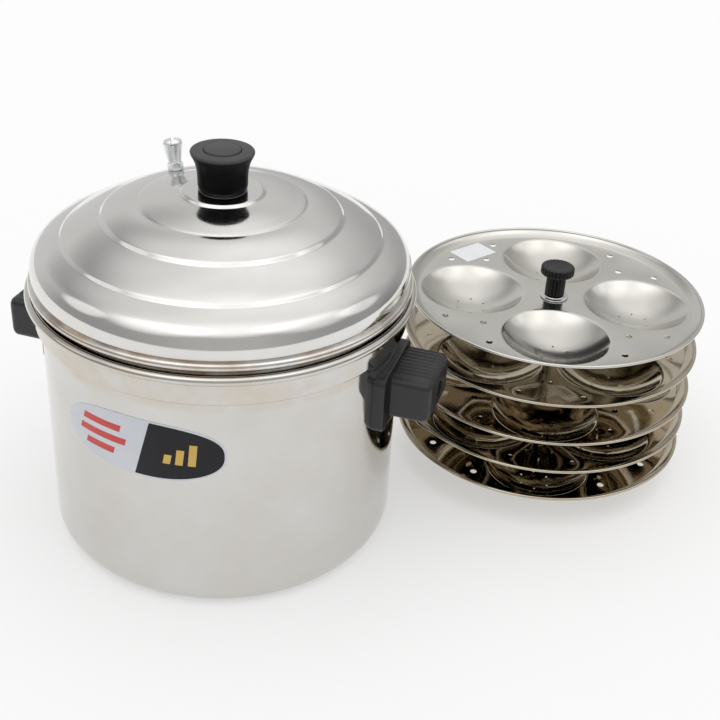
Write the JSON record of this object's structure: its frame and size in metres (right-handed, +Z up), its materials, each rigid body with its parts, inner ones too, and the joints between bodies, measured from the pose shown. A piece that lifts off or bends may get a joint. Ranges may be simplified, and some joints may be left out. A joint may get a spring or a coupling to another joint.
{
  "type": "idli steamer with plate rack",
  "caption": "Stainless steel idli steamer: a pot with two black side handles, a ringed dome lid with steam vent and knob, and a rack of idli plates on a rod.",
  "frame": {"origin": "the middle of the pot's flat bottom, on the surface it stands on", "axes": "+Z up along the pot's axis, +X to the right towards the plate rack that stands beside the pot, +Y to the back"},
  "size_m": [0.455, 0.2714, 0.2455],
  "materials": {
    "pot_steel": "polished stainless steel sheet",
    "lid_steel": "polished stainless steel sheet",
    "plate_steel": "bright stainless steel sheet",
    "rack_steel": "bright stainless steel",
    "fastener_steel": "bright steel",
    "vent_metal": "turned, satin",
    "black_bakelite": "moulded, soft sheen",
    "label_print": "printed film",
    "sticker_paper": "plain paper",
    "insert_brass": "turned"
  },
  "bodies": {
    "pot": {"pot_shell": "pot_steel", "body_label": "label_print", "handle_bracket_right": "fastener_steel", "handle_right": "black_bakelite", "handle_screw_right": "fastener_steel", "handle_bracket_left": "fastener_steel", "handle_left": "black_bakelite", "handle_screw_left": "fastener_steel"},
    "lid": {"lid_shell": "lid_steel", "knob_ferrule": "fastener_steel", "lid_knob": "black_bakelite", "knob_cap": "black_bakelite", "knob_screw": "fastener_steel", "knob_washer": "fastener_steel", "steam_vent": "vent_metal", "vent_nut": "vent_metal"},
    "rack": {"rack_rod": "rack_steel", "rack_foot": "rack_steel", "spacer_1": "rack_steel", "spacer_2": "rack_steel", "spacer_3": "rack_steel", "spacer_4": "rack_steel"},
    "plate_one": {"plate_1": "plate_steel", "plate_sticker": "sticker_paper"},
    "plate_two": {"plate_2": "plate_steel"},
    "plate_three": {"plate_3": "plate_steel"},
    "plate_four": {"plate_4": "plate_steel"},
    "plate_five": {"plate_5": "plate_steel"},
    "washer": {"clamp_washer": "fastener_steel"},
    "knob": {"rack_knob": "black_bakelite", "knob_insert": "insert_brass"}
  },
  "joints": [
    {"name": "lid_lift", "type": "slide", "parent": "pot", "child": "lid", "axis": [0, 0, 1], "range_m": [0, 0.12]},
    {"name": "rack_lift", "type": "slide", "parent": "pot", "child": "rack", "axis": [0, 0, 1], "range_m": [0, 0.18]},
    {"name": "plate_1_turn", "type": "hinge", "parent": "rack", "child": "plate_one", "pos_m": [0.2221, 0.0559, 0.1], "axis": [0, 0, 1], "continuous": true},
    {"name": "plate_2_turn", "type": "hinge", "parent": "rack", "child": "plate_two", "pos_m": [0.2221, 0.0559, 0.1], "axis": [0, 0, 1], "continuous": true},
    {"name": "plate_3_turn", "type": "hinge", "parent": "rack", "child": "plate_three", "pos_m": [0.2221, 0.0559, 0.1], "axis": [0, 0, 1], "continuous": true},
    {"name": "plate_4_turn", "type": "hinge", "parent": "rack", "child": "plate_four", "pos_m": [0.2221, 0.0559, 0.1], "axis": [0, 0, 1], "continuous": true},
    {"name": "plate_5_turn", "type": "hinge", "parent": "rack", "child": "plate_five", "pos_m": [0.2221, 0.0559, 0.1], "axis": [0, 0, 1], "continuous": true},
    {"name": "knob_rise", "type": "slide", "parent": "rack", "child": "washer", "axis": [0, 0, 1], "range_m": [0, 0.0101]},
    {"name": "knob_turn", "type": "hinge", "parent": "washer", "child": "knob", "pos_m": [0.2221, 0.0559, 0.13], "axis": [0, 0, 1], "range_deg": [0, 3600]}
  ],
  "couplings": [
    {"joint": "knob_rise", "follows": "knob_turn", "m_per_rad": 0.00015915}
  ]
}
